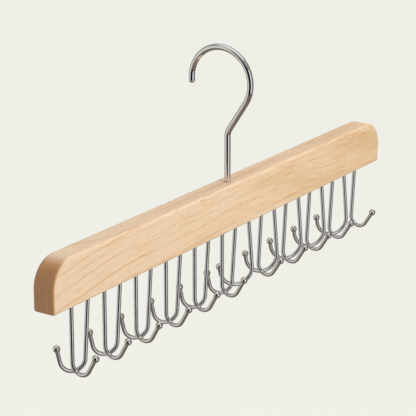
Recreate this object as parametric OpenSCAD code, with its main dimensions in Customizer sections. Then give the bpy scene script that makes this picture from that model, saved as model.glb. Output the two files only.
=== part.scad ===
// Wooden tie hanger: a flat bar on a swivel hook, with a row of bent wire hooks
// under it that point by turns to the front and to the back.
// Millimetres. The origin is the highest point inside the swivel hook's crook,
// where the closet rod bears. X runs along the bar, -Y is the front and Z is up.

/* [Bar] */
// Length of the wooden bar
bar_l = 400; // [340:1:480]
// Height of the wooden bar
bar_h = 32.5; // [28:0.5:40]
// Thickness of the wooden bar, front to back
bar_t = 15.7; // [14:0.1:22]
// Radius of the two upper corners
corner_r = 18.5; // [12:0.5:22]
// Radius of the two lower corners
foot_r = 2; // [1.8:0.1:6]
// Round-over of the bar's edges
edge_r = 1.7; // [0.6:0.1:1.7]

/* [Swivel hook] */
// Diameter of the swivel hook's wire
hook_wire = 4.2; // [3.6:0.1:5]
// Inside radius of the crook that goes over the closet rod
crook_inner_r = 21.2; // [18:0.1:26]
// Height of the crook's inside top above the bar
hook_rise = 89.6; // [84:0.2:110]
// How far the crook's centre stands behind the swivel axis
crook_offset = 5.5; // [0:0.5:8]
// Slant of the neck from upright, in degrees
neck_slant = 33; // [28:1:40]
// Radius of the bend from the stem to the neck, at the wire's centre
neck_bend_r = 9; // [6:0.5:14]
// How far the crook's free end passes below level, in degrees
crook_drop = 5; // [-10:1:20]

/* [Swivel seat] */
// Running clearance around the stem, on the radius
stem_clearance = 0.1; // [0.05:0.01:0.1]
// Diameter of the counterbore in the bar's underside
counterbore_d = 10; // [9.6:0.1:11]
// Depth of the counterbore
counterbore_depth = 6; // [5:0.5:10]
// Outside diameter of the washer under the wood
washer_d = 9; // [8.4:0.1:9.4]
// Thickness of the washer
washer_t = 1; // [0.8:0.1:1.5]
// Diameter of the upset head on the end of the stem
head_d = 7.4; // [6.6:0.1:8.2]
// Height of the upset head
head_h = 2; // [1.4:0.1:2.5]
// Chamfer around the head's lower edge
head_chamfer = 0.6; // [0.2:0.1:1]
// Running gap between the head and the washer
head_gap = 0.2; // [0.1:0.05:0.3]

/* [Tie hooks] */
// Number of tie hooks
hook_count = 22; // [12:2:26]
// Distance from each end of the bar to the first hook
end_margin = 25; // [20:1:35]
// Number of the last hook in the left run; it points to the same side as the next one
turn_over = 12; // [2:2:20]
// How far the row stands in front of the bar's middle
row_offset = 1.2; // [0:0.1:3]
// Diameter of the tie hooks' wire
tie_wire = 2.7; // [2:0.1:3.2]
// Depth of the blind bores that hold the tie hooks
grip_depth = 18; // [12:1:24]
// Clearance around a seated wire, on the radius
seat_clearance = 0.05; // [0.03:0.01:0.08]

/* [Front hooks] */
// Straight wire below the bar
front_drop = 39; // [34:0.5:50]
// Radius of the bend, at the wire's centre
front_bend_r = 6.7; // [5:0.1:9]
// Outward tilt of the arm from upright, in degrees
front_tilt = 29; // [5:1:35]
// Length of the arm from the bend to the ball's centre
front_arm = 11; // [9:0.5:16]
// Turn of the hooks towards the bar's left end, in degrees
front_turn = 0; // [0:1:20]
// Lean of the right run's hooks, foot away from the arm's side, in degrees
front_lean = 2.8; // [0:0.2:5]

/* [Back hooks, left run] */
// Straight wire below the bar
left_back_drop = 41.6; // [34:0.2:50]
// Radius of the bend, at the wire's centre
left_back_bend_r = 8.1; // [7:0.1:10]
// Outward tilt of the arm from the upright, in degrees
left_back_tilt = 15; // [2:1:30]
// Length of the arm from the bend to the ball's centre
left_back_arm = 9.4; // [4:0.2:12]
// Lean of the hooks, foot away from the arm's side, in degrees
left_back_lean = -3.2; // [-5:0.2:5]

/* [Back hooks, right run] */
// Straight wire below the bar
right_back_drop = 35.8; // [34:0.2:50]
// Radius of the bend, at the wire's centre
right_back_bend_r = 11.6; // [8:0.1:12]
// Outward tilt of the arm from the upright, in degrees
right_back_tilt = 5; // [2:1:30]
// Length of the arm from the bend to the ball's centre
right_back_arm = 4.6; // [4:0.2:12]
// Lean of the hooks, foot away from the arm's side, in degrees
right_back_lean = 4.4; // [-5:0.2:5]

/* [All back hooks] */
// Turn of the hooks towards the bar's left end, in degrees
back_turn = 50; // [0:1:55]

/* [Ball tips] */
// Diameter of the ball on each tie hook's end
ball_d = 4.8; // [4.2:0.1:6]
// Depth of the blind hole in the ball
ball_socket = 2.8; // [2:0.1:3.2]

/* [Hidden] */
$fn = 48;
// Overshoot of a cut past the face that it starts from
cut = 1;
// A wire's joints are this much thicker than the wire, so that its stretches merge
joint_swell = 0.004;

// Heights seen from the origin, and the swivel axis, which is upright
bar_top = -hook_rise;
bar_bottom = bar_top - bar_h;
axis_y = -crook_offset;

// The crook is an arc of the wire's centre line about a point on the Z axis
crook_r = crook_inner_r + hook_wire / 2;
crook_z = -crook_inner_r;
crook_sweep = 180 + neck_slant + crook_drop;

// The neck's straight line meets the swivel axis here, and touches the crook
neck_z = crook_z - (crook_r - crook_offset * cos(neck_slant)) / sin(neck_slant);
neck_setback = neck_bend_r * tan(neck_slant / 2);
neck_l = (crook_r * cos(neck_slant) - crook_offset) / sin(neck_slant) - neck_setback;
stem_top = neck_z - neck_setback;

// The washer bears on the counterbore's floor, and the head hangs just below it
stem_bore_d = hook_wire + 2 * stem_clearance;
washer_z = bar_bottom + counterbore_depth - washer_t;
head_top = washer_z - head_gap;

// The tie hooks stand in one row, evenly spaced
hooks = [1 : hook_count];
hook_pitch = (bar_l - 2 * end_margin) / (hook_count - 1);
tie_bore_d = tie_wire + 2 * seat_clearance;
ball_r = ball_d / 2;
// How far the wire's end passes the ball's centre
wire_past_centre = ball_socket - ball_r - seat_clearance;

// Odd hooks point to the front up to turn_over, and even hooks after it
function is_front(i) = i % 2 == (i <= turn_over ? 1 : 0);
function is_left(i) = i <= turn_over;
function by_place(i, front, left_back, right_back) =
    is_front(i) ? front : is_left(i) ? left_back : right_back;
function drop(i) = by_place(i, front_drop, left_back_drop, right_back_drop);
function bend_r(i) = by_place(i, front_bend_r, left_back_bend_r, right_back_bend_r);
function tilt(i) = by_place(i, front_tilt, left_back_tilt, right_back_tilt);
function arm(i) = by_place(i, front_arm, left_back_arm, right_back_arm);
function lean(i) = by_place(i, is_left(i) ? 0 : front_lean, left_back_lean, right_back_lean);
function heading(i) = is_front(i) ? -90 - front_turn : 90 + back_turn;
function hook_x(i) = -bar_l / 2 + end_margin + (i - 1) * hook_pitch;
function numbered(name, i) = str(name, i < 10 ? "_0" : "_", i);

// Half of a slab's section: flat sides, and rounded edges at its reach along x
module half_section(reach) {
    flat = bar_t - 2 * edge_r;
    translate([0, -bar_t / 2])
        square([reach - edge_r, bar_t]);
    translate([0, -flat / 2])
        square([reach, flat]);
    for (side = [-1, 1])
        translate([reach - edge_r, side * flat / 2])
            intersection() {
                circle(r = edge_r);
                translate([0, -edge_r])
                    square([edge_r, 2 * edge_r]);
            }
}

// A length of the bar along x, from its mid height up or down to its edge
module slab(length, reach) {
    rotate([0, 90, 0])
        linear_extrude(length)
            half_section(reach);
}

// A rounded corner of the bar in the upright plane, about the origin
module corner(r, from) {
    rotate([90, 0, 0])
        rotate_extrude(angle = 90, start = from)
            half_section(r);
}

// The bar's right end, from where its upper corner starts
module bar_end() {
    translate([0, 0, bar_h - corner_r])
        corner(corner_r, 0);
    translate([0, 0, foot_r])
        linear_extrude(bar_h - corner_r - foot_r)
            half_section(corner_r);
    translate([corner_r - foot_r, 0, foot_r])
        corner(foot_r, 270);
    translate([0, 0, foot_r])
        slab(corner_r - foot_r, foot_r);
}

// The bar without its bores, standing on z = 0
module bar_blank() {
    middle = bar_l - 2 * corner_r;
    translate([-middle / 2, 0, bar_h / 2])
        slab(middle, bar_h / 2);
    translate([-middle / 2, 0, bar_h / 2])
        mirror([0, 0, 1])
            slab(middle, bar_h / 2);
    for (side = [0, 1])
        mirror([side, 0, 0])
            translate([middle / 2, 0, 0])
                bar_end();
}

// Moves to the foot of the swivel axis, on the bar's underside
module on_bar() {
    translate([0, axis_y, bar_bottom])
        children();
}

// Moves to a tie hook's root in the underside, with x towards the side that the
// hook points to and z along its upright, which its bore follows
module at_hook(i) {
    on_bar()
        translate([hook_x(i), -row_offset, 0])
            rotate([0, lean(i), heading(i)])
                children();
}

// Moves to the start of a tie hook's arm, with z along the arm
module at_arm(i) {
    translate([bend_r(i), 0, -drop(i)])
        rotate([0, tilt(i), 0])
            translate([bend_r(i), 0, 0])
                children();
}

// A wire bent along an arc about the origin, counter-clockwise in its plane
module bent_wire(d, r, from, sweep) {
    rotate_extrude(angle = sweep, start = from)
        translate([r, 0])
            circle(d = d);
}

// The joint between two stretches of one wire
module wire_joint(d) {
    sphere(d = d + joint_swell);
}

module wood_bar() {
    color("burlywood")
        difference() {
            on_bar()
                bar_blank();
            on_bar()
                translate([0, 0, -cut])
                    cylinder(h = bar_h + 2 * cut, d = stem_bore_d);
            on_bar()
                translate([0, 0, -cut])
                    cylinder(h = counterbore_depth + cut, d = counterbore_d);
            for (i = hooks)
                at_hook(i)
                    translate([0, 0, -cut])
                        cylinder(h = grip_depth + cut, d = tie_bore_d);
        }
}

// The stem's upset head, which carries the bar on the washer
module upset_head() {
    translate([0, 0, head_top - head_h + head_chamfer])
        cylinder(h = head_h - head_chamfer, d = head_d);
    translate([0, 0, head_top - head_h])
        cylinder(h = head_chamfer, d1 = head_d - 2 * head_chamfer, d2 = head_d);
}

// The swivel hook's wire above its stem, in the plane of x and y
module hook_curve() {
    translate([-neck_bend_r, stem_top]) {
        bent_wire(hook_wire, neck_bend_r, 0, neck_slant);
        translate([neck_bend_r, 0])
            wire_joint(hook_wire);
        rotate([-90, 0, neck_slant])
            translate([neck_bend_r, 0, 0]) {
                wire_joint(hook_wire);
                cylinder(h = neck_l, d = hook_wire);
                translate([0, 0, neck_l])
                    wire_joint(hook_wire);
            }
    }
    translate([crook_offset, crook_z]) {
        bent_wire(hook_wire, crook_r, -crook_drop, crook_sweep);
        rotate([0, 0, -crook_drop])
            translate([crook_r, 0])
                sphere(d = hook_wire);
    }
}

module swivel_hook() {
    color("silver")
        translate([0, axis_y, 0]) {
            upset_head();
            translate([0, 0, head_top])
                cylinder(h = stem_top - head_top, d = hook_wire);
            rotate([90, 0, 90])
                hook_curve();
        }
}

module hook_washer() {
    color("gainsboro")
        translate([0, axis_y, washer_z])
            difference() {
                cylinder(h = washer_t, d = washer_d);
                translate([0, 0, -cut])
                    cylinder(h = washer_t + 2 * cut, d = stem_bore_d);
            }
}

module tie_hook(i) {
    color("silver")
        at_hook(i) {
            translate([0, 0, -drop(i)])
                cylinder(h = drop(i) + grip_depth - seat_clearance, d = tie_wire);
            translate([bend_r(i), 0, -drop(i)])
                rotate([90, 0, 0])
                    bent_wire(tie_wire, bend_r(i), 180, 180 - tilt(i));
            at_arm(i) {
                wire_joint(tie_wire);
                cylinder(h = arm(i) + wire_past_centre, d = tie_wire);
            }
        }
}

module ball_tip(i) {
    color("gainsboro")
        at_hook(i)
            at_arm(i)
                translate([0, 0, arm(i)])
                    difference() {
                        sphere(d = ball_d);
                        translate([0, 0, -ball_r - cut])
                            cylinder(h = ball_socket + cut, d = tie_bore_d);
                    }
}

wood_bar();
swivel_hook();
hook_washer();
for (i = hooks) tie_hook(i);
for (i = hooks) ball_tip(i);
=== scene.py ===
"""Tie hanger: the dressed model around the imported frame.

A flat maple bar hangs on a swivelling wire hook. Twenty-two bent wires with ball tips stand in
blind bores along its underside and point by turns to the front and to the back. Every length is
in metres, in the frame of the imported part: the origin is where the closet rod bears, X runs along
the bar, -Y is the front and Z is up.
"""

import logging
import math
from dataclasses import dataclass, field
from enum import Enum

import bmesh
import bpy
from mathutils import Matrix, Vector


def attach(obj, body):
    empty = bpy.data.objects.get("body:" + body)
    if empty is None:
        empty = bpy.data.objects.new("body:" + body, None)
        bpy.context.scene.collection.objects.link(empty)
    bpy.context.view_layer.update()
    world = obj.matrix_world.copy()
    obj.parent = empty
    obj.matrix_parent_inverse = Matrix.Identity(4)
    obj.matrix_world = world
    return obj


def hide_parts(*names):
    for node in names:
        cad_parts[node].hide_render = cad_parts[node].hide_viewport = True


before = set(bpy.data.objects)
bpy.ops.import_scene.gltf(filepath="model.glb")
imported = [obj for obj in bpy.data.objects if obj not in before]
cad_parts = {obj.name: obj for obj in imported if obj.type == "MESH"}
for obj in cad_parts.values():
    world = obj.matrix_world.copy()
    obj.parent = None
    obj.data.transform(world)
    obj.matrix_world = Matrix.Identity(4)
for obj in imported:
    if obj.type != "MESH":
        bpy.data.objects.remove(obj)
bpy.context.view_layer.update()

LOG = logging.getLogger("tie_hanger")

MM = 0.001
# Points closer than this are one point, and heights closer than that are one level
WELD = 0.002 * MM
SAME_LEVEL = 0.01 * MM
Y_AXIS = Vector((0.0, 1.0, 0.0))
Z_AXIS = Vector((0.0, 0.0, 1.0))


class Body(Enum):
    """The rigid bodies that pieces ride on."""

    HOOK = "hook"
    BAR = "bar"


class Side(Enum):
    """The side of the bar that a tie hook points to."""

    FRONT = "front"
    BACK = "back"


class NodeBoard:
    """The node tree of a material or a world, with short ways to add nodes and join them."""

    def __init__(self, owner: bpy.types.Material | bpy.types.World) -> None:
        """Starts an empty tree.

        Args:
            owner: The material or the world that the tree belongs to.
        """
        self.owner = owner
        owner.use_nodes = True
        self.tree = owner.node_tree
        self.tree.nodes.clear()

    def add(self, kind: str, inputs: dict | None = None, **settings: object) -> bpy.types.Node:
        """Adds a node.

        Args:
            kind: The node's type name.
            inputs: Socket name or number to a value, or to an output socket to join.
            **settings: The node's own properties.

        Returns:
            The new node.
        """
        node = self.tree.nodes.new(kind)
        for name, value in settings.items():
            setattr(node, name, value)
        for socket, value in (inputs or {}).items():
            if isinstance(value, bpy.types.NodeSocket):
                self.tree.links.new(value, node.inputs[socket])
            else:
                node.inputs[socket].default_value = value
        return node

    def math(self, operation: str, a: object, b: object = 0.0,
             c: object = 0.0) -> bpy.types.NodeSocket:
        """Adds a Math node.

        Args:
            operation: The node's operation.
            a: First value or socket.
            b: Second value or socket.
            c: Third value or socket, for the operations that take one.

        Returns:
            The result's socket.
        """
        return self.add("ShaderNodeMath", {0: a, 1: b, 2: c}, operation=operation).outputs[0]

    def product(self, first: object, *others: object) -> bpy.types.NodeSocket:
        """Multiplies values or sockets.

        Args:
            first: First value or socket.
            *others: What it is multiplied by.

        Returns:
            The result's socket.
        """
        for other in others:
            first = self.math("MULTIPLY", first, other)
        return first

    def squares(self, a: object, b: object) -> bpy.types.NodeSocket:
        """Adds the squares of two values.

        Args:
            a: First value or socket.
            b: Second value or socket.

        Returns:
            The sum's socket.
        """
        return self.math("ADD", self.product(a, a), self.product(b, b))

    def span(self, value: object, low: float, high: float, to_low: float = 0.0,
             to_high: float = 1.0) -> bpy.types.NodeSocket:
        """Maps a value smoothly from one range to another.

        Args:
            value: The socket to map.
            low: Where the source range starts.
            high: Where the source range ends.
            to_low: The result at low.
            to_high: The result at high.

        Returns:
            The result's socket.
        """
        return self.add("ShaderNodeMapRange", {
            "Value": value, "From Min": low, "From Max": high, "To Min": to_low,
            "To Max": to_high}, interpolation_type="SMOOTHSTEP").outputs["Result"]

    def mix(self, share: object, a: object, b: object) -> bpy.types.NodeSocket:
        """Mixes two colours.

        Args:
            share: The share of b.
            a: First colour or socket.
            b: Second colour or socket.

        Returns:
            The mixed colour's socket.
        """
        # Sockets 6 and 7 are the colour inputs of this node, and output 2 is its colour
        return self.add("ShaderNodeMix", {0: share, 6: a, 7: b}, data_type="RGBA").outputs[2]

    def noise(self, vector: bpy.types.NodeSocket, scale: float | tuple = 1.0, detail: float = 2.0,
              roughness: float = 0.5) -> bpy.types.NodeSocket:
        """Adds smooth noise in space.

        Args:
            vector: The place's socket.
            scale: How fine it is, as one number or as three along X, Y and Z.
            detail: How many finer layers it has.
            roughness: How strong the finer layers are.

        Returns:
            The noise's socket.
        """
        if isinstance(scale, tuple):
            vector = self.add("ShaderNodeMapping", {"Vector": vector, "Scale": scale}).outputs[0]
            scale = 1.0
        return self.add("ShaderNodeTexNoise", {
            "Vector": vector, "Scale": scale, "Detail": detail,
            "Roughness": roughness}).outputs["Fac"]

    def noise_along(self, value: bpy.types.NodeSocket, detail: float = 2.0,
                    roughness: float = 0.5) -> bpy.types.NodeSocket:
        """Adds noise that follows one value alone.

        Args:
            value: The value's socket.
            detail: How many finer layers it has.
            roughness: How strong the finer layers are.

        Returns:
            The noise's socket.
        """
        return self.add("ShaderNodeTexNoise", {
            "W": value, "Scale": 1.0, "Detail": detail, "Roughness": roughness},
            noise_dimensions="1D").outputs["Fac"]

    def seen_straight(self) -> bpy.types.NodeSocket:
        """Tells camera, glossy and transmission rays from all others, as 1 or 0."""
        path = self.add("ShaderNodeLightPath").outputs
        seen = self.math("MAXIMUM", path["Is Camera Ray"], path["Is Glossy Ray"])
        return self.math("MAXIMUM", seen, path["Is Transmission Ray"])

    def finish(self, shader: bpy.types.NodeSocket,
               output: str = "ShaderNodeOutputMaterial") -> bpy.types.Material | bpy.types.World:
        """Joins the shader to the output.

        Args:
            shader: The surface's shader socket.
            output: The type name of the output node.

        Returns:
            The material or the world.
        """
        self.add(output, {"Surface": shader})
        return self.owner


def tone(red: float, green: float, blue: float) -> tuple[float, float, float, float]:
    """Turns a colour as it is seen, in 0 to 255, into the linear value that a shader takes.

    Args:
        red: Red, 0 to 255.
        green: Green, 0 to 255.
        blue: Blue, 0 to 255.

    Returns:
        The linear colour with full alpha.
    """

    def linear(c: float) -> float:
        """Undoes the display curve for one channel."""
        c /= 255.0
        return c / 12.92 if c <= 0.04045 else ((c + 0.055) / 1.055) ** 2.4

    return (linear(red), linear(green), linear(blue), 1.0)


@dataclass(frozen=True)
class MapleFinish:
    """Pale maple under a satin clear varnish, sawn with its rings bowed along the bar.

    Each share says how strongly its marks colour the wood, from 0 to 1.
    """

    pale: tuple = tone(241, 213, 180)
    warm: tuple = tone(221, 185, 140)
    ring: tuple = tone(214, 160, 104)
    fleck: tuple = tone(204, 158, 112)
    end_grain: tuple = tone(221, 158, 102)
    end_streak: tuple = tone(192, 134, 86)
    mineral: tuple = tone(202, 134, 78)
    ring_gap: float = 9.0 * MM
    pith_behind: float = 34.0 * MM
    pith_below: float = 86.0 * MM
    bow: float = 11.0 * MM
    bow_peak_x: float = 20.0 * MM
    bow_half: float = 215.0 * MM
    bow_right: float = 0.68
    wander: float = 9.0 * MM
    warm_along: float = 2.0
    ring_share: float = 0.52
    band_share: float = 0.07
    fibre_share: float = 0.30
    fleck_share: float = 0.44
    figure_slope: float = math.radians(6)
    figure_size: tuple = (26.0 * MM, 3.0 * MM, 2.0 * MM)
    mineral_share: float = 0.42
    mineral_half: tuple = (4.0 * MM, 0.9 * MM)
    mineral_marks: tuple = (
        (-110.0 * MM, 12.5 * MM), (-42.0 * MM, 31.0 * MM), (175.0 * MM, 27.5 * MM))
    pore_share: float = 0.5
    streak_share: float = 0.34
    end_ring_share: float = 0.10
    foot: float = -122.1 * MM

    def _wandered(self, b: NodeBoard, where: bpy.types.NodeSocket, x: bpy.types.NodeSocket,
                  z: bpy.types.NodeSocket) -> bpy.types.NodeSocket:
        """Bends the height as the tree's grain does: it bows along the bar and wanders a little.

        Args:
            b: The material's nodes.
            where: The place on the bar.
            x: Its x.
            z: Its z.

        Returns:
            The height's socket, as the grain sees it.
        """
        drift = b.noise(where, (9.0, 12.0, 12.0))
        off = b.math("DIVIDE", b.math("SUBTRACT", x, self.bow_peak_x), self.bow_half)
        right = b.product(b.math("MAXIMUM", off, 0.0), self.bow_right)
        off = b.math("ADD", b.math("MINIMUM", off, 0.0), right)
        bowed = b.math("MULTIPLY_ADD", b.product(off, off), self.bow, z)
        return b.math("MULTIPLY_ADD", b.math("SUBTRACT", drift, 0.5), self.wander, bowed)

    def _minerals(self, b: NodeBoard, x: bpy.types.NodeSocket, z: bpy.types.NodeSocket,
                  colour: bpy.types.NodeSocket) -> bpy.types.NodeSocket:
        """Adds the few small mineral marks on the faces.

        Args:
            b: The material's nodes.
            x: The place's x.
            z: The place's z.
            colour: The wood's colour so far.

        Returns:
            The colour with the marks.
        """
        half_x, half_z = self.mineral_half
        for mark_x, mark_z in self.mineral_marks:
            reach = b.math("DIVIDE", b.math("SUBTRACT", x, mark_x), half_x)
            rise = b.math("DIVIDE", b.math("SUBTRACT", z, self.foot + mark_z), half_z)
            share = b.span(b.squares(reach, rise), 0.0, 1.0, self.mineral_share, 0.0)
            colour = b.mix(share, colour, self.mineral)
        return colour

    def _ends(self, b: NodeBoard, where: bpy.types.NodeSocket,
              late: bpy.types.NodeSocket) -> bpy.types.NodeSocket:
        """Colours the end grain, which drinks the varnish and is much darker.

        Args:
            b: The material's nodes.
            where: The place on the bar.
            late: The share of late wood.

        Returns:
            The end grain's colour.
        """
        pores = b.span(b.noise(where, 1500.0), 0.35, 0.75)
        streaks = b.span(b.noise(where, (30.0, 620.0, 30.0), 3.0, 0.6), 0.42, 0.66)
        ends = b.mix(b.product(pores, self.pore_share), self.end_grain, self.fleck)
        ends = b.mix(b.product(streaks, self.streak_share), ends, self.end_streak)
        return b.mix(b.product(late, self.end_ring_share), ends, self.end_streak)

    def material(self) -> bpy.types.Material:
        """Builds the wood's nodes.

        Returns:
            The material.
        """
        b = NodeBoard(bpy.data.materials.new("maple_varnished"))
        where = b.add("ShaderNodeTexCoord").outputs["Object"]
        x, y, z = b.add("ShaderNodeSeparateXYZ", {0: where}).outputs[:3]
        wandered = self._wandered(b, where, x, z)

        # Growth rings are shells around a pith that lies behind and below the bar
        behind = b.math("SUBTRACT", y, self.pith_behind)
        above = b.math("ADD", wandered, self.pith_below - self.foot)
        rings = b.math("DIVIDE", b.math("SQRT", b.squares(behind, above)), self.ring_gap)
        uneven = b.noise_along(b.product(rings, 0.7))
        turn = b.math("FRACT", b.math("ADD", rings, uneven))
        late = b.product(b.span(turn, 0.84, 0.93), b.span(turn, 0.99, 0.95))
        bands = b.noise_along(b.product(rings, 5.0), 3.0, 0.6)

        # Long soft fibres and short flecks run with the grain
        grain = b.add("ShaderNodeCombineXYZ", {0: x, 1: y, 2: wandered}).outputs[0]
        fibres = b.noise(grain, (22.0, 900.0, 900.0), 4.0, 0.6)
        flecks = b.noise(grain, (110.0, 1500.0, 1500.0))
        clouds = b.noise(grain, (14.0, 60.0, 60.0))

        # The wood turns warmer towards the right end, in soft patches
        patches = b.span(b.math("MULTIPLY_ADD", x, self.warm_along, clouds), 0.42, 1.15)
        colour = b.mix(patches, self.pale, self.warm)
        colour = b.mix(b.product(b.span(bands, 0.42, 0.75), self.band_share), colour, self.ring)

        # The rings come and go, and are plainest on the left
        fading = b.span(b.noise(grain, (16.0, 70.0, 70.0), 3.0), 0.34, 0.58, 0.35, 1.0)
        present = b.product(fading, b.span(x, -0.10, 0.02, 1.0, 0.5))
        colour = b.mix(b.product(late, present, self.ring_share), colour, self.ring)
        veins = b.math("SUBTRACT", b.noise(grain, (11.0, 260.0, 260.0), 2.0, 0.45), 0.5)
        vein = b.span(b.math("ABSOLUTE", veins), 0.0, 0.035, 1.0, 0.0)
        vein = b.product(vein, b.span(x, -0.14, 0.06, 0.10, 0.34))
        colour = b.mix(vein, colour, self.ring)
        colour = b.mix(b.product(b.span(fibres, 0.52, 0.70), self.fibre_share), colour, self.ring)
        colour = b.mix(b.product(b.span(flecks, 0.55, 0.70), self.fleck_share), colour, self.fleck)

        # Towards the right end, short fine lines cross the rings and fall a little
        sloped = b.add("ShaderNodeMapping", {
            "Vector": where, "Rotation": (0.0, self.figure_slope, 0.0),
            "Scale": self.figure_size}, vector_type="TEXTURE").outputs[0]
        figure = b.span(b.noise(sloped, 1.0, 3.0, 0.6), 0.50, 0.66)
        figured = b.product(figure, b.span(x, -0.06, 0.12, 0.12, 0.32))
        colour = b.mix(figured, colour, self.ring)
        colour = self._minerals(b, x, z, colour)

        # The mesh says where the end grain is
        cut = b.add("ShaderNodeAttribute", attribute_name="end_grain",
                    attribute_type="GEOMETRY").outputs["Fac"]
        colour = b.mix(b.span(cut, 0.08, 0.66), colour, self._ends(b, where, late))

        height = b.math("ADD", b.product(fibres, 0.6), b.product(flecks, 0.4))
        bump = b.add("ShaderNodeBump", {
            "Strength": 0.08, "Distance": 0.05 * MM, "Height": height}).outputs[0]
        shader = b.add("ShaderNodeBsdfPrincipled", {
            "Base Color": colour, "Roughness": b.span(fibres, 0.2, 0.8, 0.36, 0.46), "IOR": 1.5,
            "Coat Weight": 0.3, "Coat Roughness": 0.18, "Normal": bump})
        return b.finish(shader.outputs[0])


@dataclass(frozen=True)
class ChromeFinish:
    """Polished plating over drawn wire, with the faintest drawing marks."""

    name: str
    colour: tuple
    roughness: float = 0.05
    marks: float = 0.012

    def material(self) -> bpy.types.Material:
        """Builds the plating's nodes.

        Returns:
            The material.
        """
        b = NodeBoard(bpy.data.materials.new(self.name))
        where = b.add("ShaderNodeTexCoord").outputs["Object"]
        haze = b.noise(where, 260.0, 3.0)
        bump = b.add("ShaderNodeBump", {
            "Strength": self.marks, "Distance": 0.02 * MM, "Height": b.noise(where, 1800.0)})
        shader = b.add("ShaderNodeBsdfPrincipled", {
            "Base Color": self.colour, "Metallic": 1.0,
            "Roughness": b.span(haze, 0.3, 0.75, self.roughness * 0.7, self.roughness * 1.6),
            "Normal": bump.outputs[0]})
        return b.finish(shader.outputs[0])


@dataclass(frozen=True)
class ZincFinish:
    """Plain zinc-plated steel with a turned face, for the washer."""

    colour: tuple = tone(176, 178, 180)
    worn_colour: tuple = tone(142, 145, 150)

    def material(self) -> bpy.types.Material:
        """Builds the zinc's nodes.

        Returns:
            The material.
        """
        b = NodeBoard(bpy.data.materials.new("zinc_turned"))
        where = b.add("ShaderNodeTexCoord").outputs["Object"]
        spangle = b.add("ShaderNodeTexVoronoi", {"Vector": where, "Scale": 900.0})
        worn = b.noise(where, 400.0, 4.0)
        colour = b.mix(b.span(worn, 0.35, 0.7), self.colour, self.worn_colour)
        bump = b.add("ShaderNodeBump", {
            "Strength": 0.1, "Distance": 0.03 * MM, "Height": spangle.outputs["Distance"]})
        shader = b.add("ShaderNodeBsdfPrincipled", {
            "Base Color": colour, "Metallic": 1.0, "Roughness": b.span(worn, 0.2, 0.8, 0.28, 0.42),
            "Normal": bump.outputs[0]})
        return b.finish(shader.outputs[0])


class WireRun:
    """A round wire under work: its open end is drawn on, bent or shaped, and at last closed."""

    def __init__(self, bm: bmesh.types.BMesh, radius: float, facets: int, start: Matrix) -> None:
        """Cuts the wire's first end.

        Args:
            bm: The mesh to build in.
            radius: The wire's radius.
            facets: Faces around the wire.
            start: Where the wire starts; its Z axis is the way the wire runs.
        """
        self.bm = bm
        self.at = start.copy()
        self.radius = radius
        made = bmesh.ops.create_circle(bm, cap_ends=True, radius=radius, segments=facets,
                                       matrix=start)
        verts = set(made["verts"])
        self.tip = [e for e in bm.edges if verts.issuperset(e.verts) and len(e.link_faces) < 2]

    def _verts(self) -> list[bmesh.types.BMVert]:
        """The open end's corners."""
        return list({v for e in self.tip for v in e.verts})

    def _draw(self) -> list[bmesh.types.BMVert]:
        """Pulls a new ring out of the open end and returns its corners."""
        made = bmesh.ops.extrude_edge_only(self.bm, edges=self.tip)["geom"]
        verts = {g for g in made if isinstance(g, bmesh.types.BMVert)}
        self.tip = [g for g in made
                    if isinstance(g, bmesh.types.BMEdge) and verts.issuperset(g.verts)]
        return list(verts)

    def straight(self, length: float) -> "WireRun":
        """Draws the wire on along a line.

        Args:
            length: How far it runs.

        Returns:
            The run itself.
        """
        return self.shape(self.radius, length)

    def shape(self, radius: float, advance: float) -> "WireRun":
        """Draws the wire on while its radius changes, as for a head, a chamfer or a round end.

        Args:
            radius: The radius of the new ring.
            advance: How far it runs.

        Returns:
            The run itself.
        """
        verts = self._draw()
        bmesh.ops.translate(self.bm, verts=verts, vec=self.at.to_3x3() @ Vector((0, 0, advance)))
        self.at = self.at @ Matrix.Translation((0, 0, advance))
        bmesh.ops.scale(self.bm, verts=verts, vec=(radius / self.radius,) * 3,
                        space=self.at.inverted())
        self.radius = radius
        return self

    def bend(self, radius: float, angle: float, steps: int) -> "WireRun":
        """Bends the wire towards the run's own X axis.

        Args:
            radius: The bend's radius at the wire's centre.
            angle: The bend's angle in radians.
            steps: The number of stretches along it.

        Returns:
            The run itself.
        """
        centre = self.at @ Vector((radius, 0, 0))
        axis = self.at.to_3x3() @ Y_AXIS
        made = bmesh.ops.spin(self.bm, geom=self.tip, cent=centre, axis=axis, angle=angle,
                              steps=steps)
        self.tip = [g for g in made["geom_last"] if isinstance(g, bmesh.types.BMEdge)]
        about = Matrix.Translation(centre)
        self.at = about @ Matrix.Rotation(angle, 4, axis) @ about.inverted() @ self.at
        return self

    def close(self) -> None:
        """Caps the open end."""
        bmesh.ops.holes_fill(self.bm, edges=self.tip, sides=0)

    def round_off(self, rings: int) -> None:
        """Ends the wire in half a ball.

        Args:
            rings: The number of rings in the half ball.
        """
        full = self.radius
        for k in range(1, rings):
            here, last = (math.pi / 2 * s / rings for s in (k, k - 1))
            self.shape(full * math.cos(here), full * (math.sin(here) - math.sin(last)))
        self._draw()
        last = math.pi / 2 * (rings - 1) / rings
        peak = self.at @ Vector((0, 0, full * (1.0 - math.sin(last))))
        bmesh.ops.pointmerge(self.bm, verts=self._verts(), merge_co=peak)


def turned(bm: bmesh.types.BMesh, profile: list[tuple[float, float]], place: Matrix,
           facets: int) -> None:
    """Turns a profile about the place's Z axis, as on a lathe.

    Args:
        bm: The mesh to build in.
        profile: Points as radius and height.
        place: Where the lathe's axis lies.
        facets: Steps around the axis.
    """
    verts = [bm.verts.new(place @ Vector((r, 0, h))) for r, h in profile]
    edges = [bm.edges.new(pair) for pair in zip(verts, verts[1:])]
    bmesh.ops.spin(bm, geom=verts + edges, cent=place.translation, axis=place.to_3x3() @ Z_AXIS,
                   angle=math.tau, steps=facets, use_merge=True)
    bmesh.ops.remove_doubles(bm, verts=bm.verts, dist=WELD)


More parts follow.
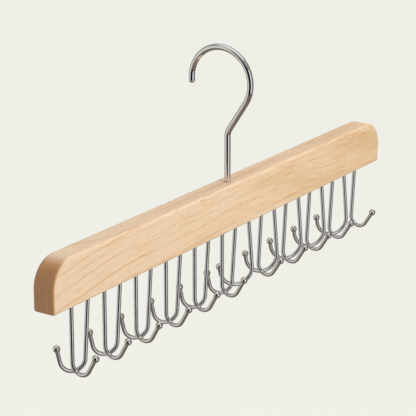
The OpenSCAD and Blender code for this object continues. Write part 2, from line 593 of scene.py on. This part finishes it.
def rounded(bm: bmesh.types.BMesh, edges: list[bmesh.types.BMEdge], radius: float,
            steps: int) -> None:
    """Rounds edges off.

    Args:
        bm: The mesh to work on.
        edges: The edges.
        radius: The round's radius.
        steps: The number of faces across the round.
    """
    bmesh.ops.bevel(bm, geom=edges, offset=radius, offset_type="OFFSET", segments=steps,
                    profile=0.5, affect="EDGES", clamp_overlap=False, material=-1)


def placed(name: str, bm: bmesh.types.BMesh, material: bpy.types.Material) -> bpy.types.Object:
    """Turns a bmesh into an object of the scene.

    Args:
        name: The object's name.
        bm: The mesh, which is freed.
        material: Its finish.

    Returns:
        The new object.
    """
    mesh = bpy.data.meshes.new(name)
    bm.to_mesh(mesh)
    bm.free()
    mesh.materials.append(material)
    obj = bpy.data.objects.new(name, mesh)
    bpy.context.scene.collection.objects.link(obj)
    return obj


def piece(name: str, bm: bmesh.types.BMesh, material: bpy.types.Material, body: Body,
          node: str, sharp: float = math.radians(35)) -> bpy.types.Object:
    """Turns a finished bmesh into a piece of the hanger.

    Args:
        name: The piece's name.
        bm: The mesh, which is freed.
        material: Its finish.
        body: The body that it rides on.
        node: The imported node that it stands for.
        sharp: Edges that turn by more than this stay crisp.

    Returns:
        The new object.
    """
    bmesh.ops.recalc_face_normals(bm, faces=bm.faces)
    obj = placed(name, bm, material)
    obj.data.shade_smooth()
    obj.data.set_sharp_from_angle(angle=sharp)
    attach(obj, body.value)
    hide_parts(node)
    LOG.info("%s: %d faces on %s", name, len(obj.data.polygons), body.value)
    return obj


@dataclass(frozen=True)
class HookShape:
    """How a tie hook is bent, and how it stands in the bar."""

    drop: float
    bend_r: float
    tilt: float
    arm: float
    heading: float
    lean: float = 0.0

    def stance(self) -> Matrix:
        """The hook's turn in the bar.

        Returns:
            A turn whose X axis points to the hook's side and whose Z axis runs up its upright.
        """
        return Matrix.Rotation(self.heading, 4, "Z") @ Matrix.Rotation(self.lean, 4, "Y")


@dataclass
class BarSeats:
    """Where the bar's holes are: the sizes that the wood, the wires and the washer share."""

    axis_y: float = -5.5 * MM
    top: float = -89.6 * MM
    bottom: float = -122.1 * MM
    hook_count: int = 22
    first_x: float = -175.0 * MM
    last_x: float = 175.0 * MM
    turn_over: int = 12
    grip_depth: float = 18.0 * MM
    seat_clearance: float = 0.05 * MM
    tie_wire_r: float = 1.35 * MM
    row_offset: float = 1.2 * MM
    hook_wire_r: float = 2.1 * MM
    stem_clearance: float = 0.1 * MM
    counterbore_r: float = 5.0 * MM
    counterbore_depth: float = 6.0 * MM
    washer_t: float = 1.0 * MM
    head_gap: float = 0.2 * MM
    front_left: HookShape = HookShape(
        drop=39.0 * MM, bend_r=6.7 * MM, tilt=math.radians(29), arm=11.0 * MM,
        heading=math.radians(-90))
    front_right: HookShape = HookShape(
        drop=39.0 * MM, bend_r=6.7 * MM, tilt=math.radians(29), arm=11.0 * MM,
        heading=math.radians(-90), lean=math.radians(2.8))
    back_left: HookShape = HookShape(
        drop=41.6 * MM, bend_r=8.1 * MM, tilt=math.radians(15), arm=9.4 * MM,
        heading=math.radians(140), lean=math.radians(-3.2))
    back_right: HookShape = HookShape(
        drop=35.8 * MM, bend_r=11.6 * MM, tilt=math.radians(5), arm=4.6 * MM,
        heading=math.radians(140), lean=math.radians(4.4))

    def hook_x(self, number: int) -> float:
        """The place of a tie hook along the bar.

        Args:
            number: The hook's number, from 1 at the left end.

        Returns:
            Its x.
        """
        share = (number - 1) / (self.hook_count - 1)
        return self.first_x + share * (self.last_x - self.first_x)

    def side(self, number: int) -> Side:
        """The side that a tie hook points to.

        Args:
            number: The hook's number, from 1 at the left end.

        Returns:
            Its side.
        """
        odd = number % 2 == 1
        return Side.FRONT if odd == (number <= self.turn_over) else Side.BACK

    def shape(self, number: int) -> HookShape:
        """The bends of a tie hook.

        Args:
            number: The hook's number, from 1 at the left end.

        Returns:
            Its shape.
        """
        left = number <= self.turn_over
        if self.side(number) is Side.FRONT:
            return self.front_left if left else self.front_right
        return self.back_left if left else self.back_right

    def root(self, number: int) -> Matrix:
        """The place where a tie hook leaves the bar's underside.

        Args:
            number: The hook's number, from 1 at the left end.

        Returns:
            The place, with X towards the hook's side and Z up its upright.
        """
        spot = Vector((self.hook_x(number), self.axis_y - self.row_offset, self.bottom))
        return Matrix.Translation(spot) @ self.shape(number).stance()


@dataclass
class WoodenBar:
    """The maple bar with its rounded ends, eased edges and bores."""

    seats: BarSeats
    finish: bpy.types.Material
    length: float = 400.0 * MM
    thickness: float = 15.7 * MM
    corner_r: float = 18.5 * MM
    foot_r: float = 2.0 * MM
    edge_r: float = 1.7 * MM
    mouth_break: float = 0.25 * MM
    corner_steps: int = 28
    foot_steps: int = 10
    edge_steps: int = 6
    facets: int = 32

    def blank(self) -> bmesh.types.BMesh:
        """Shapes the bar without its bores.

        Returns:
            The blank's mesh.
        """
        s = self.seats
        height = s.top - s.bottom
        bm = bmesh.new()
        bmesh.ops.create_cube(bm, size=1.0)
        bmesh.ops.scale(bm, vec=(self.length, self.thickness, height), verts=bm.verts)
        bmesh.ops.translate(bm, vec=(0, s.axis_y, (s.top + s.bottom) / 2), verts=bm.verts)
        for level, radius, steps in ((s.top, self.corner_r, self.corner_steps),
                                     (s.bottom, self.foot_r, self.foot_steps)):
            ends = [e for e in bm.edges
                    if abs(e.verts[0].co.y - e.verts[1].co.y) > self.thickness / 2
                    and abs(e.verts[0].co.z - level) < SAME_LEVEL]
            rounded(bm, ends, radius, steps)
        rims = [e for e in bm.edges
                if abs(e.verts[0].co.y - e.verts[1].co.y) < self.edge_r / 100]
        rounded(bm, rims, self.edge_r, self.edge_steps)
        return bm

    def _ring(self, bm: bmesh.types.BMesh, centre: Vector,
              radius: float) -> list[bmesh.types.BMEdge]:
        """Draws a level ring on the bar.

        Args:
            bm: The mesh to build in.
            centre: The ring's centre.
            radius: Its radius.

        Returns:
            The ring's edges.
        """
        made = bmesh.ops.create_circle(bm, cap_ends=False, radius=radius, segments=self.facets,
                                       matrix=Matrix.Translation(centre))
        verts = set(made["verts"])
        return [e for e in bm.edges if verts.issuperset(e.verts)]

    def _sink(self, bm: bmesh.types.BMesh, ring: list[bmesh.types.BMEdge], mouth: Vector,
              steps: list[tuple[float, float]], way: Vector = Z_AXIS) -> list[bmesh.types.BMEdge]:
        """Draws a bore's wall on from a ring.

        Args:
            bm: The mesh to build in.
            ring: The ring to start from.
            mouth: The ring's centre.
            steps: The radius and the height of each further ring.
            way: The bore's direction, upwards.

        Returns:
            The last ring's edges.
        """
        radius = (ring[0].verts[0].co - mouth).length
        centre = mouth
        for new_radius, z in steps:
            made = bmesh.ops.extrude_edge_only(bm, edges=ring)["geom"]
            verts = [g for g in made if isinstance(g, bmesh.types.BMVert)]
            inside = set(verts)
            ring = [g for g in made
                    if isinstance(g, bmesh.types.BMEdge) and inside.issuperset(g.verts)]
            step = way * ((z - centre.z) / way.z)
            bmesh.ops.translate(bm, verts=verts, vec=step)
            centre = centre + step
            share = new_radius / radius
            bmesh.ops.scale(bm, verts=verts, vec=(share, share, 1.0),
                            space=Matrix.Translation(-centre))
            radius = new_radius
        return ring

    def _face_with_holes(self, bm: bmesh.types.BMesh, z: float, up: float,
                         rings: list[bmesh.types.BMEdge]) -> None:
        """Replaces a level face of the blank by one with holes.

        Args:
            bm: The mesh to build in.
            z: The face's height.
            up: 1 for a face that looks up, -1 for one that looks down.
            rings: The holes' edges.
        """
        level = 0.999
        flat = [f for f in bm.faces if f.normal.z * up > level
                and abs(f.calc_center_median().z - z) < SAME_LEVEL]
        rim = [e for f in flat for e in f.edges if sum(g in flat for g in e.link_faces) == 1]
        bmesh.ops.delete(bm, geom=flat, context="FACES_ONLY")
        bmesh.ops.triangle_fill(bm, edges=rim + rings, use_beauty=True, normal=(0, 0, up))

    def build(self) -> bpy.types.Object:
        """Makes the bar.

        Returns:
            The bar's object.
        """
        s = self.seats
        bm = self.blank()
        bm.normal_update()
        ease = self.mouth_break
        mouths = []
        bore_r = s.tie_wire_r + s.seat_clearance
        for number in range(1, s.hook_count + 1):
            root = s.root(number)
            ring = self._ring(bm, root.translation, bore_r + ease)
            mouths += ring
            floor = self._sink(bm, ring, root.translation, [
                (bore_r, s.bottom + ease), (bore_r, s.bottom + s.grip_depth)],
                root.to_3x3() @ Z_AXIS)
            bmesh.ops.holes_fill(bm, edges=floor, sides=0)
        stem_r = s.hook_wire_r + s.stem_clearance
        mouth = Vector((0.0, s.axis_y, s.bottom))
        ring = self._ring(bm, mouth, s.counterbore_r + ease)
        mouths += ring
        step = s.bottom + s.counterbore_depth
        top = self._sink(bm, ring, mouth, [
            (s.counterbore_r, s.bottom + ease), (s.counterbore_r, step), (stem_r, step),
            (stem_r, s.top - ease), (stem_r + ease, s.top)])
        self._face_with_holes(bm, s.bottom, -1.0, mouths)
        self._face_with_holes(bm, s.top, 1.0, top)
        bmesh.ops.remove_doubles(bm, verts=bm.verts, dist=WELD)
        obj = piece("bar_of_maple", bm, self.finish, Body.BAR, "wood_bar",
                    math.radians(40))
        mark = obj.data.attributes.new("end_grain", "FLOAT", "POINT")
        for vertex in obj.data.vertices:
            mark.data[vertex.index].value = abs(vertex.normal.x)
        weighted = obj.modifiers.new("flat_faces_stay_flat", "WEIGHTED_NORMAL")
        weighted.keep_sharp = True
        weighted.weight = 100
        return obj


@dataclass
class SwivelHook:
    """The bent wire hook with its upset head."""

    seats: BarSeats
    finish: bpy.types.Material
    crook_r: float = 23.3 * MM
    crook_z: float = -21.2 * MM
    neck_slant: float = math.radians(33)
    neck_bend_r: float = 9.0 * MM
    crook_drop: float = math.radians(5)
    head_r: float = 3.7 * MM
    head_h: float = 2.0 * MM
    head_chamfer: float = 0.6 * MM
    head_ease: float = 0.2 * MM
    neck_steps: int = 14
    crook_steps: int = 80
    end_rings: int = 8
    facets: int = 40

    def build(self) -> bpy.types.Object:
        """Makes the hook from its head up to the crook's free end.

        Returns:
            The hook's object.
        """
        s = self.seats
        offset = -s.axis_y
        slant = self.neck_slant
        head_top = s.bottom + s.counterbore_depth - s.washer_t - s.head_gap
        neck_z = self.crook_z - (self.crook_r - offset * math.cos(slant)) / math.sin(slant)
        setback = self.neck_bend_r * math.tan(slant / 2)
        neck_l = (self.crook_r * math.cos(slant) - offset) / math.sin(slant) - setback
        stem_top = neck_z - setback
        wire_r = s.hook_wire_r

        # The run's X axis points to the front, so that the first bend leans that way, and it is
        # turned round before the crook, which bends back over
        facing = Matrix(((0, 1, 0), (-1, 0, 0), (0, 0, 1))).to_4x4()
        start = Matrix.Translation((0, s.axis_y, head_top - self.head_h)) @ facing
        bm = bmesh.new()
        run = WireRun(bm, self.head_r - self.head_chamfer, self.facets, start)
        run.shape(self.head_r, self.head_chamfer)
        run.shape(self.head_r, self.head_h - self.head_chamfer - self.head_ease)
        run.shape(self.head_r - self.head_ease, self.head_ease)
        run.shape(wire_r, 0.0)
        run.straight(stem_top - head_top)
        run.bend(self.neck_bend_r, slant, self.neck_steps)
        run.straight(neck_l)
        run.at = run.at @ Matrix.Rotation(math.pi, 4, "Z")
        run.bend(self.crook_r, math.pi + slant + self.crook_drop, self.crook_steps)
        run.round_off(self.end_rings)
        return piece("hook_of_wire", bm, self.finish, Body.HOOK, "swivel_hook")


@dataclass
class HookWasher:
    """The flat washer in the counterbore, with its edges eased."""

    seats: BarSeats
    finish: bpy.types.Material
    outer_r: float = 4.5 * MM
    ease: float = 0.15 * MM
    facets: int = 48

    def build(self) -> bpy.types.Object:
        """Makes the washer.

        Returns:
            The washer's object.
        """
        s = self.seats
        inner_r = s.hook_wire_r + s.stem_clearance
        e, t = self.ease, s.washer_t
        place = Matrix.Translation((0, s.axis_y, s.bottom + s.counterbore_depth - t))
        bm = bmesh.new()
        turned(bm, [(inner_r, e), (inner_r + e, 0), (self.outer_r - e, 0), (self.outer_r, e),
                    (self.outer_r, t - e), (self.outer_r - e, t), (inner_r + e, t),
                    (inner_r, t - e), (inner_r, e)], place, self.facets)
        return piece("washer", bm, self.finish, Body.BAR, "hook_washer")


@dataclass
class TieHooks:
    """The row of bent wires and the balls on their ends."""

    seats: BarSeats
    wire_finish: bpy.types.Material
    ball_finish: bpy.types.Material
    ball_r: float = 2.4 * MM
    socket: float = 2.8 * MM
    bend_steps: int = 22
    ball_steps: int = 20
    ball_facets: int = 36
    facets: int = 20

    def _wire(self, number: int) -> Matrix:
        """Makes one bent wire.

        Args:
            number: The hook's number, from 1 at the left end.

        Returns:
            The place of the ball's centre, with Z along the arm.
        """
        s = self.seats
        shape = s.shape(number)
        seated = s.grip_depth - s.seat_clearance
        # The run goes down, with its X axis towards the side that the hook points to
        downward = Matrix.Diagonal((1, -1, -1, 1))
        start = s.root(number) @ Matrix.Translation((0, 0, seated)) @ downward
        bm = bmesh.new()
        run = WireRun(bm, s.tie_wire_r, self.facets, start)
        run.straight(seated + shape.drop)
        run.bend(shape.bend_r, math.pi - shape.tilt, self.bend_steps)
        ball = run.at @ Matrix.Translation((0, 0, shape.arm))
        run.straight(shape.arm + self.socket - self.ball_r - s.seat_clearance)
        run.close()
        piece(f"tie_wire_{number:02d}", bm, self.wire_finish, Body.BAR,
              f"tie_hook_{number:02d}")
        return ball

    def _ball(self, number: int, place: Matrix) -> None:
        """Makes one ball with its blind hole.

        Args:
            number: The hook's number.
            place: The ball's centre, with Z along the arm.
        """
        s = self.seats
        hole_r = s.tie_wire_r + s.seat_clearance
        rim = math.asin(hole_r / self.ball_r)
        steps = self.ball_steps
        arc = [(math.pi - rim) * (1 - k / steps) for k in range(steps + 1)]
        floor = self.socket - self.ball_r
        outline = [(0.0, floor), (hole_r, floor)]
        outline += [(self.ball_r * math.sin(a), self.ball_r * math.cos(a)) for a in arc]
        bm = bmesh.new()
        turned(bm, outline, place, self.ball_facets)
        piece(f"ball_{number:02d}", bm, self.ball_finish, Body.BAR,
              f"ball_tip_{number:02d}")

    def build(self) -> None:
        """Makes every tie hook with its ball."""
        for number in range(1, self.seats.hook_count + 1):
            self._ball(number, self._wire(number))


@dataclass
class Softbox:
    """A large soft lamp that looks at the hanger."""

    name: str
    place: tuple
    size: tuple
    power: float


@dataclass
class Card:
    """A curved card around the studio that shows in reflections alone.

    Its ends are angles in degrees from the camera's direction, positive to the camera's right.
    Its rim is the line from one radius and height to another that sweeps out the card.
    """

    name: str
    start: float
    end: float
    brightness: float
    colour: tuple = (1.0, 1.0, 1.0)
    rim: tuple = ((2.3, -1.7), (2.3, 1.1))


@dataclass
class Studio:
    """The plain floor, the soft light and the camera."""

    aim: Vector = field(default_factory=lambda: Vector((0.0, 0.0, -0.09)))
    paper: tuple = tone(239, 239, 231)
    room: tuple = (1.0, 0.99, 0.97, 1.0)
    room_strength: float = 0.35
    floor_z: float = -1.75
    floor_size: float = 14.0
    floor_glow: float = 1.11
    floor_share: float = 0.85
    card_steps: int = 24
    camera_place: tuple = (-0.9795, -0.6410, 0.2631)
    camera_forward: tuple = (0.7935, 0.5276, -0.3035)
    lens: float = 156.2
    sensor: float = 36.0
    clip: tuple = (0.01, 100.0)
    softboxes: tuple = (
        Softbox("key_softbox", (0.55, -1.7, 0.75), (2.2, 2.2), 40.5),
        Softbox("top_softbox", (1.1, 0.2, 1.5), (2.0, 1.8), 14.0),
        Softbox("back_softbox", (0.8, 1.6, 0.5), (2.0, 2.0), 17.0),
    )
    cards: tuple = (
        Card("black_card", -54.0, 24.0, 0.008),
        Card("warm_card", -110.0, -54.0, 0.74, (1.0, 0.95, 0.88)),
        Card("grey_card_left", -180.0, -110.0, 0.26),
        Card("white_card", 24.0, 56.0, 0.98),
        Card("grey_card", 56.0, 92.0, 0.30, (1.0, 0.92, 0.85)),
        Card("brown_card_right", 92.0, 140.0, 0.15, (1.0, 0.84, 0.64)),
        Card("grey_card_right", 140.0, 180.0, 0.26),
        Card("grey_card_above", 0.0, 360.0, 0.34, (1.0, 1.0, 1.0), ((0.9, 1.1), (2.3, 1.1))),
        Card("brown_card_below", 0.0, 360.0, 0.19, (1.0, 0.85, 0.70), ((0.02, -1.7), (2.1, -1.25))),
    )

    def build(self) -> None:
        """Sets up the whole studio."""
        self._floor()
        self._world()
        for box in self.softboxes:
            self._lamp(box)
        for card in self.cards:
            self._card(card)
        self._camera()
        bpy.context.scene.view_settings.view_transform = "Standard"

    def _floor(self) -> None:
        """Lays the pale floor, which keeps soft shadows and shows plain paper to the camera."""
        b = NodeBoard(bpy.data.materials.new("paper_floor"))
        matt = b.add("ShaderNodeBsdfDiffuse", {"Color": self.paper}).outputs[0]
        glow = b.add("ShaderNodeEmission", {
            "Color": self.paper, "Strength": self.floor_glow}).outputs[0]
        share = b.product(b.seen_straight(), self.floor_share)
        both = b.add("ShaderNodeMixShader", {0: share, 1: matt, 2: glow}).outputs[0]
        bm = bmesh.new()
        bmesh.ops.create_grid(bm, x_segments=1, y_segments=1, size=self.floor_size,
                              matrix=Matrix.Translation((0, 0, self.floor_z)))
        placed("floor", bm, b.finish(both))

    def _world(self) -> None:
        """Lights the room evenly and shows plain paper behind everything."""
        world = bpy.data.worlds.new("pale_room")
        bpy.context.scene.world = world
        b = NodeBoard(world)
        room = b.add("ShaderNodeBackground", {
            "Color": self.room, "Strength": self.room_strength}).outputs[0]
        paper = b.add("ShaderNodeBackground", {"Color": self.paper}).outputs[0]
        both = b.add("ShaderNodeMixShader", {0: b.seen_straight(), 1: room, 2: paper})
        b.finish(both.outputs[0], "ShaderNodeOutputWorld")

    def _lamp(self, box: Softbox) -> None:
        """Hangs one softbox.

        Args:
            box: The lamp's place, size and power.
        """
        lamp = bpy.data.lights.new(box.name, "AREA")
        lamp.shape = "RECTANGLE"
        lamp.size, lamp.size_y = box.size
        lamp.energy = box.power
        obj = bpy.data.objects.new(box.name, lamp)
        obj.location = box.place
        obj.rotation_euler = (self.aim - Vector(box.place)).to_track_quat("-Z", "Y").to_euler()
        # Reflections show the cards and the paper, and not the lamps themselves
        obj.visible_glossy = False
        bpy.context.scene.collection.objects.link(obj)

    def _card(self, card: Card) -> None:
        """Stands one card in the ring around the hanger.

        Args:
            card: The card's place in the ring and its tone.
        """
        toward = -Vector(self.camera_forward)
        start = math.atan2(toward.y, toward.x) + math.radians(card.start)
        outward = Vector((math.cos(start), math.sin(start), 0.0))
        bm = bmesh.new()
        ends = [bm.verts.new(outward * r + Z_AXIS * z) for r, z in card.rim]
        edge = bm.edges.new(ends)
        sweep = math.radians(card.end - card.start)
        bmesh.ops.spin(bm, geom=[*ends, edge], cent=(0, 0, 0), axis=Z_AXIS, angle=sweep,
                       steps=self.card_steps)
        b = NodeBoard(bpy.data.materials.new(card.name))
        glow = b.add("ShaderNodeEmission", {
            "Color": (*card.colour, 1.0), "Strength": card.brightness}).outputs[0]
        obj = placed(card.name, bm, b.finish(glow))
        for way in ("camera", "diffuse", "transmission", "volume_scatter", "shadow"):
            setattr(obj, f"visible_{way}", False)

    def _camera(self) -> None:
        """Sets the camera where the photograph was taken from."""
        data = bpy.data.cameras.new("camera")
        data.lens = self.lens
        data.sensor_width = self.sensor
        data.clip_start, data.clip_end = self.clip
        camera = bpy.data.objects.new("camera", data)
        camera.location = self.camera_place
        forward = Vector(self.camera_forward)
        camera.rotation_euler = forward.to_track_quat("-Z", "Y").to_euler()
        bpy.context.scene.collection.objects.link(camera)
        bpy.context.scene.camera = camera


def main() -> None:
    """Builds the hanger piece by piece, then the studio around it."""
    logging.basicConfig(level=logging.INFO, format="%(name)s: %(message)s")
    Studio().build()
    seats = BarSeats()
    WoodenBar(seats, MapleFinish().material()).build()
    SwivelHook(seats, ChromeFinish("chrome_hook", tone(232, 232, 234)).material()).build()
    HookWasher(seats, ZincFinish().material()).build()
    wire = ChromeFinish("chrome_tie_hooks", tone(222, 222, 224)).material()
    ball = ChromeFinish("chrome_balls", tone(236, 236, 238)).material()
    TieHooks(seats, wire, ball).build()


if __name__ == "__main__":
    main()
